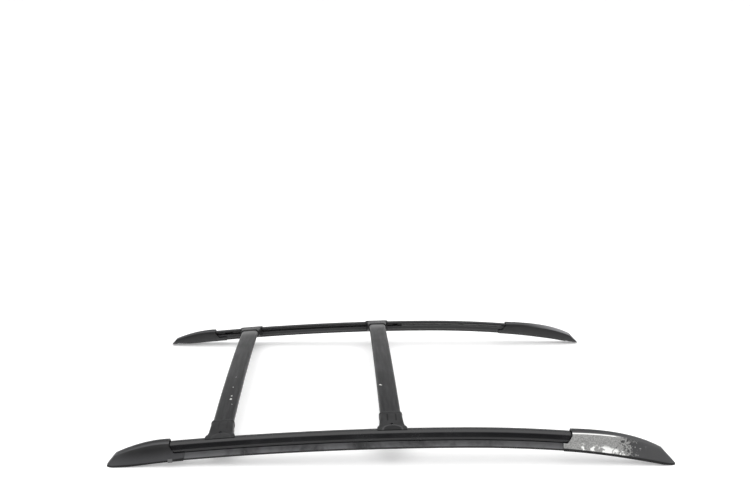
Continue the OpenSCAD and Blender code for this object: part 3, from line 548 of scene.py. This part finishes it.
@dataclass(frozen=True)
class MouldedPlastic:
    """Injection moulded, grained polypropylene.

    The spark-eroded tool leaves a fine leather-like grain that scatters light, and the
    weather turns the plastic a little grey in patches. A cap is greyer low down, over a black
    band along its lower edge, and carries painted highlights on its ridge and nose. A foot
    has painted shade in two creases on its sleeve and in a hollow at its back, with a painted
    highlight on a pale ring round the hollow.
    """

    name: str
    colour: str
    weathered: str
    roughness: float
    line: BaseLine | None = None
    low_grey: str = ""
    specular: float = 0.5
    creases_x: float | None = None
    painted_light_strength: float = 0.0
    grain_mm: float = 1.4
    grain_depth_mm: float = 0.05
    grain_rough: float = 0.12
    patch_mm: float = 70
    patch_range: tuple[float, float] = (0.42, 0.7)

    def material(self) -> bpy.types.Material:
        """Makes the finish.

        Returns:
            The material.
        """
        look = Shading(self.name, {"Specular IOR Level": self.specular, "IOR": 1.49})
        patch = look.make(Kind.NOISE, per_metre(self.patch_mm), 5, 0.65)
        patch = look.make(Kind.EASED, patch, *self.patch_range)
        fine = look.make(Kind.NOISE, per_metre(self.grain_mm), 3, 0.6)
        colour = look.make(Kind.BLEND, patch, self.colour, self.weathered)
        if self.line:
            height = look.above_line(self.line)
            colour = look.cap_grey_and_highlights(colour, self.line, self.low_grey, NOSE_HIGHLIGHT)
            lip = look.make(Kind.EASED, height, LIP_H + LIP_BLUR, LIP_H - LIP_BLUR)
            colour = look.make(Kind.BLEND, lip, colour, LIP_AND_SHADE_BLACK)
        if self.creases_x is not None:
            # Painted shade darkens the creases and the hollow and takes gloss from them; a painted highlight
            # lightens the ring round the hollow
            hollow = self.from_hollow(look)
            ring = look.make(Kind.EASED, hollow, *HOLLOW_RING, 0, self.painted_light_strength)
            colour = look.make(Kind.BLEND, ring, colour, HOLLOW_RING_HIGHLIGHT)
            shaded = look.make(Kind.LARGEST, look.make(Kind.EASED, hollow, *HOLLOW_EDGE), self.crease_shading(look))
            shaded = look.make(Kind.PRODUCT, shaded, self.painted_light_strength)
            colour = look.make(Kind.BLEND, shaded, colour, LIP_AND_SHADE_BLACK)
            open_share = look.make(Kind.DIFFERENCE, 1.0, look.make(Kind.PRODUCT, shaded, SHADED_GLOSS_LOSS))
            look.connect(Specular_IOR_Level=look.make(Kind.PRODUCT, open_share, self.specular))
        rough = look.make(Kind.SUM, look.make(Kind.PRODUCT, fine, self.grain_rough), self.roughness)
        cells = look.make(Kind.CELLS, per_metre(self.grain_mm))
        normal = look.make(Kind.BUMP, cells, metres(self.grain_depth_mm))
        normal = look.make(Kind.BUMP, fine, metres(self.grain_depth_mm), normal)
        return look.connect(Base_Color=colour, Roughness=rough, Normal=normal)

    def from_hollow(self, look: Shading) -> bpy.types.NodeSocket:
        """Measures from the middle of the shaded hollow at the back of a foot.

        Args:
            look: The material's helper.

        Returns:
            Distance, where 1 is the hollow's arched edge.
        """
        aside = look.make(Kind.RATIO, look.make(Kind.DIFFERENCE, look.place["X"], self.creases_x), HOLLOW_A)
        back = look.make(Kind.RATIO, look.make(Kind.DIFFERENCE, look.off_middle(), HOLLOW_Y), HOLLOW_B)
        squares = [look.make(Kind.PRODUCT, share, share) for share in (aside, back)]
        return look.make(Kind.ROOT, look.make(Kind.SUM, *squares))

    def crease_shading(self, look: Shading) -> bpy.types.NodeSocket:
        """Paints shade in the two moulded creases along the top of a sleeve.

        Args:
            look: The material's helper.

        Returns:
            Share of painted crease shade, from 0 to 1.
        """
        aside = look.make(Kind.SIZE, look.make(Kind.DIFFERENCE, look.place["X"], self.creases_x))
        off_line = look.make(Kind.SIZE, look.make(Kind.DIFFERENCE, aside, CREASE_X))
        out = look.off_middle()
        return look.joined(
            look.make(Kind.EASED, off_line, CREASE_W, CREASE_W * CREASE_CORE, 0, CREASE_SHADE),
            look.make(Kind.EASED, out, CREASE_FROM_Y, CREASE_FROM_Y + CREASE_FADE),
            look.make(Kind.EASED, out, CREASE_TO_Y, CREASE_TO_Y - CREASE_FADE))


@dataclass(frozen=True)
class PeeledCoat:
    """Cast end cap whose black coat has peeled off its outer side.

    Dull silver metal shows through, with white corrosion bloom low down, black flecks of
    coat that still hold further on, and a painted highlight, in the bloom's white, along
    the crease above the side.
    """

    name: str
    colour: str
    weathered: str
    line: BaseLine
    dull: str = "#777776"
    bare: str = "#a6a6a4"
    bloom: str = "#f4f4f2"
    low_grey: str = "#434344"
    nose_highlight: str = "#454546"
    bloom_from_x: float = 0.556
    flecks_from_x: float = 0.69
    coat_from_x: float = 0.765
    bloom_blur: float = 0.012
    flecks_blur: float = 0.04
    coat_fade: tuple[float, float] = (0.777, 0.745)
    crease_fade: tuple[float, float] = (0.71, 0.66)
    side_facing: tuple[float, float] = (0.78, 0.86)
    crease_facing: tuple[float, float] = (0.5, 0.62)
    bloom_top: tuple[float, float] = (0.03, 0.02)
    lip_above: tuple[float, float] = (0.0026, 0.0018)
    wave: float = 0.07
    wave_mm: float = 14
    fine_mm: float = 4
    fine_range: tuple[float, float] = (0.3, 0.7)
    fleck_mm: float = 11
    fleck_range: tuple[float, float] = (0.64, 0.7)
    fleck_hold: float = 0.3
    blotch_mm: float = 20
    blotch_range: tuple[float, float] = (0.47, 0.56)
    coat_mm: float = 60
    coat_range: tuple[float, float] = (0.4, 0.7)
    roughness: float = 0.35
    fine_rough: float = 0.2
    coat_depth_mm: float = 0.12
    fine_depth_mm: float = 0.04

    def material(self) -> bpy.types.Material:
        """Makes the finish.

        Returns:
            The material.
        """
        look = Shading(self.name, {"IOR": 1.49})
        x = look.place["X"]
        outward = look.make(Kind.PRODUCT, look.facing["Y"], -1.0)
        fine = look.make(Kind.NOISE, per_metre(self.fine_mm), 4, 0.7)
        ragged = look.make(Kind.DIFFERENCE, look.make(Kind.NOISE, per_metre(self.wave_mm), 5, 0.65), 0.5)
        wavy = look.make(Kind.SUM, x, look.make(Kind.PRODUCT, ragged, self.wave))
        side = look.make(Kind.EASED, outward, *self.side_facing)
        reach = look.make(Kind.EASED, wavy, *self.coat_fade)
        peeled = look.joined(side, reach, look.make(Kind.DIFFERENCE, 1.0, self.flecks(look, x)))
        # Painted highlight: a white line along the crease above the side, up to where the coat holds
        above = look.make(Kind.EASED, outward, *self.crease_facing)
        crease_end = look.make(Kind.EASED, wavy, *self.crease_fade)
        crease_highlight = look.joined(above, look.make(Kind.DIFFERENCE, 1.0, side), crease_end)
        height = look.above_line(self.line)
        metal = look.make(Kind.BLEND, look.make(Kind.EASED, fine, *self.fine_range), self.dull, self.bare)
        metal = look.make(Kind.BLEND, self.bloomed(look, x, height), metal, self.bloom)
        patch = look.make(Kind.NOISE, per_metre(self.coat_mm), 5, 0.6)
        patch = look.make(Kind.EASED, patch, *self.coat_range)
        coat = look.make(Kind.BLEND, patch, self.colour, self.weathered)
        coat = look.cap_grey_and_highlights(coat, self.line, self.low_grey, self.nose_highlight)
        colour = look.make(Kind.BLEND, crease_highlight, look.make(Kind.BLEND, peeled, coat, metal), self.bloom)
        lip = look.make(Kind.EASED, height, LIP_H + self.lip_above[0], LIP_H + self.lip_above[1])
        colour = look.make(Kind.BLEND, lip, colour, LIP_AND_SHADE_BLACK)
        rough = look.make(Kind.SUM, look.make(Kind.PRODUCT, fine, self.fine_rough), self.roughness)
        normal = look.make(Kind.BUMP, look.make(Kind.DIFFERENCE, 1.0, peeled), metres(self.coat_depth_mm))
        normal = look.make(Kind.BUMP, fine, metres(self.fine_depth_mm), normal)
        return look.connect(Base_Color=colour, Roughness=rough, Normal=normal)

    def flecks(self, look: Shading, x: bpy.types.NodeSocket) -> bpy.types.NodeSocket:
        """Finds the flecks of coat that still hold, denser towards the sound coat ahead.

        Args:
            look: The material's helper.
            x: Place along the rails in metres.

        Returns:
            1 inside a fleck and 0 elsewhere.
        """
        holding = look.make(Kind.EASED, x, self.flecks_from_x - self.flecks_blur, self.coat_from_x)
        spots = look.make(Kind.NOISE, per_metre(self.fleck_mm), 5, 0.7)
        spots = look.make(Kind.SUM, spots, look.make(Kind.PRODUCT, holding, self.fleck_hold))
        return look.make(Kind.EASED, spots, *self.fleck_range)

    def bloomed(self, look: Shading, x: bpy.types.NodeSocket,
                height: bpy.types.NodeSocket) -> bpy.types.NodeSocket:
        """Finds the white corrosion bloom on the lower part of the bare metal.

        Args:
            look: The material's helper.
            x: Place along the rails in metres.
            height: Height above the cap's lower edge.

        Returns:
            Share of bloom, from 0 to 1.
        """
        blotches = look.make(Kind.NOISE, per_metre(self.blotch_mm), 4, 0.6)
        return look.joined(
            look.make(Kind.EASED, height, *self.bloom_top),
            look.make(Kind.EASED, blotches, *self.blotch_range),
            look.make(Kind.EASED, x, self.bloom_from_x, self.bloom_from_x + self.bloom_blur),
            look.make(Kind.EASED, x, self.flecks_from_x + self.flecks_blur, self.flecks_from_x))


@dataclass(frozen=True)
class SealRubber:
    """Extruded EPDM rubber: deep black and dull, with a dusty bloom and a slightly uneven skin."""

    name: str = "epdm_seal_rubber"
    colour: str = "#161617"
    bloom: str = "#2b2b2c"
    roughness: float = 0.75
    bloom_mm: float = 25
    bloom_range: tuple[float, float] = (0.45, 0.75)
    skin_mm: float = 1.2
    skin_depth_mm: float = 0.04

    def material(self) -> bpy.types.Material:
        """Makes the finish.

        Returns:
            The material.
        """
        look = Shading(self.name, {"IOR": 1.52, "Roughness": self.roughness})
        dusty = look.make(Kind.NOISE, per_metre(self.bloom_mm), 5, 0.6)
        dusty = look.make(Kind.EASED, dusty, *self.bloom_range)
        skin = look.make(Kind.NOISE, per_metre(self.skin_mm), 3)
        normal = look.make(Kind.BUMP, skin, metres(self.skin_depth_mm))
        return look.connect(Base_Color=look.make(Kind.BLEND, dusty, self.colour, self.bloom), Normal=normal)


@dataclass(frozen=True)
class DieCast:
    """Die-cast aluminium as it leaves the die: dull silver, flow marks, a fine pebbled skin."""

    name: str = "die_cast_aluminium"
    colour: str = "#a8a9ab"
    flow: str = "#8a8b8e"
    roughness: float = 0.42
    skin_rough: float = 0.16
    flow_mm: float = 14
    flow_range: tuple[float, float] = (0.38, 0.66)
    skin_mm: float = 1.1
    skin_depth_mm: float = 0.05

    def material(self) -> bpy.types.Material:
        """Makes the finish.

        Returns:
            The material.
        """
        look = Shading(self.name, {"Metallic": 1.0})
        flow = look.make(Kind.EASED, look.make(Kind.NOISE, per_metre(self.flow_mm), 5, 0.6), *self.flow_range)
        fine = look.make(Kind.NOISE, per_metre(self.skin_mm), 3, 0.6)
        rough = look.make(Kind.SUM, look.make(Kind.PRODUCT, fine, self.skin_rough), self.roughness)
        colour = look.make(Kind.BLEND, flow, self.colour, self.flow)
        normal = look.make(Kind.BUMP, fine, metres(self.skin_depth_mm))
        return look.connect(Base_Color=colour, Roughness=rough, Normal=normal)


@dataclass(frozen=True)
class ZincPlate:
    """Zinc-plated steel screws and nut plates: bright blue-grey, spangled, dulled in patches."""

    name: str = "zinc_plated_steel"
    colour: str = "#c3c6c9"
    dulled: str = "#94979a"
    roughness: float = 0.24
    dull_rough: float = 0.2
    dull_mm: float = 5
    dull_range: tuple[float, float] = (0.4, 0.65)
    skin_mm: float = 0.8
    skin_depth_mm: float = 0.01

    def material(self) -> bpy.types.Material:
        """Makes the finish.

        Returns:
            The material.
        """
        look = Shading(self.name, {"Metallic": 1.0})
        dull = look.make(Kind.EASED, look.make(Kind.NOISE, per_metre(self.dull_mm), 4, 0.6), *self.dull_range)
        rough = look.make(Kind.SUM, look.make(Kind.PRODUCT, dull, self.dull_rough), self.roughness)
        colour = look.make(Kind.BLEND, dull, self.colour, self.dulled)
        skin = look.make(Kind.NOISE, per_metre(self.skin_mm), 2)
        normal = look.make(Kind.BUMP, skin, metres(self.skin_depth_mm))
        return look.connect(Base_Color=colour, Roughness=rough, Normal=normal)


@dataclass
class Finishes:
    """Every finish of the object, made once."""

    rail: bpy.types.Material = field(init=False)
    rear_bar: bpy.types.Material = field(init=False)
    front_bar: bpy.types.Material = field(init=False)
    front_cap: bpy.types.Material = field(init=False)
    rear_cap: bpy.types.Material = field(init=False)
    peeled_cap: bpy.types.Material = field(init=False)
    rear_foot: bpy.types.Material = field(init=False)
    front_foot: bpy.types.Material = field(init=False)
    clip: bpy.types.Material = field(init=False)
    rubber: bpy.types.Material = field(init=False)
    casting: bpy.types.Material = field(init=False)
    steel: bpy.types.Material = field(init=False)

    def __post_init__(self) -> None:
        """Makes the materials."""
        self.rail = PowderCoat(
            "black_powder_coat", "#111113", "#19191b", roughness=0.21, specular=0.42,
            skirt_reflection="#434345", channel_reflection="#868686").material()
        self.rear_bar = self.bar(Place.REAR, REAR_BAR_CHIPS)
        self.front_bar = self.bar(Place.FRONT, FRONT_BAR_CHIPS)
        self.front_cap = self.cap(Place.FRONT, FRONT_LINE, low_grey="#343436")
        self.rear_cap = self.cap(Place.REAR, REAR_LINE, low_grey="#3e3e40")
        self.peeled_cap = PeeledCoat("peeled_cap_coat", "#1e1e20", "#2b2b2d", FRONT_LINE).material()
        self.rear_foot = self.foot(Place.REAR, REAR_BAR_X, painted_light_strength=0.3)
        self.front_foot = self.foot(Place.FRONT, FRONT_BAR_X, painted_light_strength=0.75)
        self.clip = MouldedPlastic("clip_plastic", "#626263", "#707070", roughness=0.5).material()
        self.rubber = SealRubber().material()
        self.casting = DieCast().material()
        self.steel = ZincPlate().material()

    @staticmethod
    def bar(place: Place, chips: tuple[tuple[float, float, float], ...]) -> bpy.types.Material:
        """Makes the dark grey coat of one crossbar.

        Args:
            place: Place of the crossbar.
            chips: Chips in its paint.

        Returns:
            The material.
        """
        return PowderCoat(
            f"grey_powder_coat_{place.value}", "#131314", "#1d1d1e", roughness=0.35, specular=0.19,
            chips=chips, end_sheen="#707070", streaks=0.6).material()

    @staticmethod
    def cap(end: Place, line: BaseLine, low_grey: str) -> bpy.types.Material:
        """Makes the black plastic of the caps at one end.

        Args:
            end: End of the rails.
            line: The caps' lower edge.
            low_grey: Colour of the grey low down.

        Returns:
            The material.
        """
        return MouldedPlastic(
            f"grained_black_polypropylene_{end.value}", "#0e0e0f", "#171718", roughness=0.35, line=line,
            low_grey=low_grey, specular=0.42).material()

    @staticmethod
    def foot(place: Place, x: float, painted_light_strength: float) -> bpy.types.Material:
        """Makes the dark grey plastic of one crossbar's feet.

        Args:
            place: Place of the crossbar.
            x: Middle of its feet along the rails.
            painted_light_strength: Strength of their painted crease and hollow shade and ring highlight.

        Returns:
            The material.
        """
        return MouldedPlastic(
            f"grained_grey_polypropylene_{place.value}", "#1b1b1c", "#252526", roughness=0.4,
            specular=0.3, creases_x=x, painted_light_strength=painted_light_strength).material()


def body_of(node: str) -> str:
    """Finds the body that a node belongs to.

    Args:
        node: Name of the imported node.

    Returns:
        Name of its body.

    Raises:
        KeyError: No body holds the node.
    """
    for body, nodes in frame["record"]["behaviour"]["bodies"].items():
        if node in nodes:
            return body
    raise KeyError(node)


@dataclass
class Piece:
    """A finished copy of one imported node."""

    node: str
    material: bpy.types.Material
    slot: Slot
    crease_deg: float = 32
    weld_m: float = 1e-5

    def build(self) -> bpy.types.Object:
        """Welds, smooths and dresses the copy.

        Returns:
            The new object, which replaces the node and rides on its body.
        """
        mesh = frame["nodes"][self.node].data.copy()
        shape = bmesh.new()
        shape.from_mesh(mesh)
        bmesh.ops.remove_doubles(shape, verts=shape.verts, dist=self.weld_m)
        bmesh.ops.dissolve_degenerate(shape, dist=self.weld_m, edges=shape.edges)
        limit = math.radians(self.crease_deg)
        for face in shape.faces:
            face.smooth = True
        for edge in shape.edges:
            edge.smooth = len(edge.link_faces) == 2 and edge.calc_face_angle(0) < limit
        shape.to_mesh(mesh)
        shape.free()
        mesh.materials.clear()
        mesh.materials.append(self.material)
        piece = bpy.data.objects.new(f"{self.node}_finished", mesh)
        bpy.context.scene.collection.objects.link(piece)
        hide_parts(self.node)
        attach(piece, body_of(self.node))
        return piece


@dataclass
class SideRail:
    """One rail with its caps, brackets, seals and fixings."""

    side: Side
    finishes: Finishes

    def cap_material(self, end: Place) -> bpy.types.Material:
        """Picks the finish of a cap: the near front one has lost its coat.

        Args:
            end: End of the rail.

        Returns:
            The cap's material.
        """
        if end is Place.REAR:
            return self.finishes.rear_cap
        return self.finishes.peeled_cap if self.side is Side.RIGHT else self.finishes.front_cap

    def pieces(self) -> list[Piece]:
        """Lists the rail's pieces.

        Returns:
            Every piece of this side, unbuilt.
        """
        name, looks = self.side.value, self.finishes
        made = [
            Piece(f"{name}_rail", looks.rail, Slot.RAIL),
            Piece(f"{name}_base_seal", looks.rubber, Slot.SEAL),
            Piece(f"{name}_nut_plates", looks.steel, Slot.STEEL),
            Piece(f"{name}_bracket_screws", looks.steel, Slot.STEEL),
            Piece(f"{name}_edge_clip", looks.clip, Slot.CLIP),
        ]
        for end in Place:
            made += [
                Piece(f"{name}_{end.value}_cap", self.cap_material(end), Slot.CAP),
                Piece(f"{name}_{end.value}_bracket", looks.casting, Slot.BRACKET),
                Piece(f"{name}_{end.value}_gasket", looks.rubber, Slot.SEAL),
            ]
        return made


@dataclass
class Crossbar:
    """One crossbar with its feet, pads, jaws and screws."""

    place: Place
    finishes: Finishes

    def pieces(self) -> list[Piece]:
        """Lists the crossbar's pieces.

        Returns:
            Every piece that slides with this crossbar, unbuilt.
        """
        name, looks = self.place.value, self.finishes
        rear = self.place is Place.REAR
        paint = looks.rear_bar if rear else looks.front_bar
        plastic = looks.rear_foot if rear else looks.front_foot
        made = [
            Piece(f"{name}_bar", paint, Slot.BAR),
            Piece(f"{name}_bar_screws", looks.steel, Slot.STEEL),
        ]
        for side in Side:
            made += [
                Piece(f"{name}_{side.value}_foot", plastic, Slot.FOOT),
                Piece(f"{name}_{side.value}_pad", looks.rubber, Slot.SEAL),
                Piece(f"{name}_{side.value}_jaw", looks.casting, Slot.BRACKET),
                Piece(f"{name}_{side.value}_screw", looks.steel, Slot.STEEL),
            ]
        return made


@dataclass
class Studio:
    """Camera, pale floor with a swept-up backdrop, and soft light."""

    eye: tuple[float, float, float] = (-0.16496, -2.56605, 1.23022)
    pitch: float = 0.26207
    roll: float = 0.003124
    focal_px: float = 767.6
    centre_px: float = 335.86
    sensor_mm: float = 36
    clip_end: float = 100
    floor_half: float = 9
    floor_back: float = 4.5
    sweep_r: float = 2
    sweep_steps: int = 24
    backdrop_top: float = 5
    paper: tuple[str, str] = ("#ececec", "#eeeeee")
    paper_mm: float = 400
    paper_glow: float = 0.29
    dome: float = 0.55
    dome_behind: tuple[float, float] = (0.1, -0.4)
    dome_rise: tuple[float, float] = (0.27, 0.47)
    dome_rise_strength: tuple[float, float] = (0.06, 1.1)
    ceiling_h: float = 3.0
    ceiling_deg: float = 75
    ceiling_energy: float = 1.8
    ceiling_lean_deg: float = 6

    def camera(self) -> None:
        """Places the camera as the photograph was taken."""
        data = bpy.data.cameras.new("camera")
        data.sensor_width = self.sensor_mm
        data.lens = self.sensor_mm * self.focal_px / PHOTO_WIDTH_PX
        data.shift_x = (PHOTO_WIDTH_PX / 2 - self.centre_px) / PHOTO_WIDTH_PX
        data.clip_end = self.clip_end
        ahead = Vector((0, math.cos(self.pitch), -math.sin(self.pitch)))
        right = Vector((1, 0, 0))
        up = right.cross(ahead)
        across = right * math.cos(self.roll) - up * math.sin(self.roll)
        upward = right * math.sin(self.roll) + up * math.cos(self.roll)
        camera = bpy.data.objects.new("camera", data)
        turn = Matrix((across, upward, -ahead)).transposed().to_4x4()
        camera.matrix_world = Matrix.Translation(self.eye) @ turn
        bpy.context.scene.collection.objects.link(camera)
        bpy.context.scene.camera = camera

    def floor_material(self) -> bpy.types.Material:
        """Makes white paper that shows white where nothing shades it and keeps the object's shadow.

        Returns:
            The material.
        """
        material = bpy.data.materials.new("white_paper_sweep")
        material.use_nodes = True
        tree = material.node_tree
        tree.nodes.clear()
        rays = add(tree, "ShaderNodeLightPath").outputs
        seen = rays["Is Camera Ray"]
        for kind in ("Is Glossy Ray", "Is Transmission Ray"):
            seen = add(tree, "ShaderNodeMath", {"operation": "MAXIMUM"}, i0=seen, i1=rays[kind]).outputs[0]
        coords = add(tree, "ShaderNodeTexCoord").outputs["Object"]
        grain = add(tree, "ShaderNodeTexNoise", Scale=per_metre(self.paper_mm), Detail=3, Vector=coords)
        tint = add(tree, "ShaderNodeMix", {"data_type": "RGBA"}, i0=grain.outputs["Fac"], i6=self.paper[0],
                   i7=self.paper[1]).outputs[2]
        paper = add(tree, "ShaderNodeBsdfDiffuse", Color=tint).outputs[0]
        glow = add(tree, "ShaderNodeEmission", Strength=self.paper_glow).outputs[0]
        lit = add(tree, "ShaderNodeAddShader", i0=paper, i1=glow).outputs[0]
        mix = add(tree, "ShaderNodeMixShader", Fac=seen, i1=paper, i2=lit).outputs[0]
        add(tree, "ShaderNodeOutputMaterial", Surface=mix)
        return material

    def floor(self) -> None:
        """Makes the floor and the backdrop that sweeps up from it as one sheet."""
        shape = bmesh.new()
        edge = [shape.verts.new((-self.floor_half, y, 0)) for y in (-self.floor_half, self.floor_back)]
        shape.edges.new(edge)
        axis = Vector((-self.floor_half, self.floor_back, self.sweep_r))
        swept = bmesh.ops.spin(shape, geom=[edge[1]], cent=axis, axis=(1, 0, 0), angle=math.pi / 2,
                               steps=self.sweep_steps)
        last = [item for item in swept["geom_last"] if isinstance(item, bmesh.types.BMVert)][0]
        top = shape.verts.new(last.co + Vector((0, 0, self.backdrop_top)))
        shape.edges.new((last, top))
        widened = bmesh.ops.extrude_edge_only(shape, edges=shape.edges[:])
        moved = [item for item in widened["geom"] if isinstance(item, bmesh.types.BMVert)]
        bmesh.ops.translate(shape, verts=moved, vec=(2 * self.floor_half, 0, 0))
        bmesh.ops.recalc_face_normals(shape, faces=shape.faces)
        mesh = bpy.data.meshes.new("paper_sweep")
        shape.to_mesh(mesh)
        shape.free()
        mesh.shade_smooth()
        mesh.materials.append(self.floor_material())
        sheet = bpy.data.objects.new("paper_sweep", mesh)
        bpy.context.scene.collection.objects.link(sheet)

    def world(self) -> None:
        """Lights the object with a pale dome: dark low down behind the camera, brighter above that."""
        world = bpy.data.worlds.new("soft_dome")
        world.use_nodes = True
        tree = world.node_tree
        coords = add(tree, "ShaderNodeTexCoord").outputs["Generated"]
        place = add(tree, "ShaderNodeSeparateXYZ", Vector=coords).outputs
        eased = {"interpolation_type": "SMOOTHSTEP"}
        behind = add(tree, "ShaderNodeMapRange", eased, Value=place["Y"], i1=self.dome_behind[0],
                     i2=self.dome_behind[1]).outputs[0]
        rising = add(tree, "ShaderNodeMapRange", eased, Value=place["Z"], i1=self.dome_rise[0],
                     i2=self.dome_rise[1], i3=self.dome_rise_strength[0],
                     i4=self.dome_rise_strength[1]).outputs[0]
        strength = add(tree, "ShaderNodeMix", {"data_type": "FLOAT"}, i0=behind, i2=self.dome,
                       i3=rising).outputs[0]
        tree.links.new(strength, tree.nodes["Background"].inputs["Strength"])
        tree.nodes["Background"].inputs["Color"].default_value = linear("#ffffff")
        bpy.context.scene.world = world

    def overhead(self) -> None:
        """Adds a very broad light from above, as from a white ceiling."""
        data = bpy.data.lights.new("ceiling", "SUN")
        data.angle = math.radians(self.ceiling_deg)
        data.energy = self.ceiling_energy
        ceiling = bpy.data.objects.new("ceiling", data)
        ceiling.location = (0.0, 0.0, self.ceiling_h)
        ceiling.rotation_euler = (math.radians(self.ceiling_lean_deg), 0.0, 0.0)
        bpy.context.scene.collection.objects.link(ceiling)

    def build(self) -> None:
        """Sets up the camera, the floor and the light."""
        self.camera()
        self.floor()
        self.world()
        self.overhead()


def main() -> None:
    """Builds the studio and every sub-assembly, and reports each piece."""
    logging.basicConfig(level=logging.INFO, format="%(name)s: %(message)s")
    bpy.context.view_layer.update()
    bpy.context.scene.view_settings.view_transform = "Standard"
    Studio().build()
    finishes = Finishes()
    parts = [SideRail(side, finishes) for side in Side] + [Crossbar(place, finishes) for place in Place]
    for part in parts:
        for piece in part.pieces():
            made = piece.build()
            LOG.info("%s: %d faces", made.name, len(made.data.polygons))


if __name__ == "__main__":
    main()
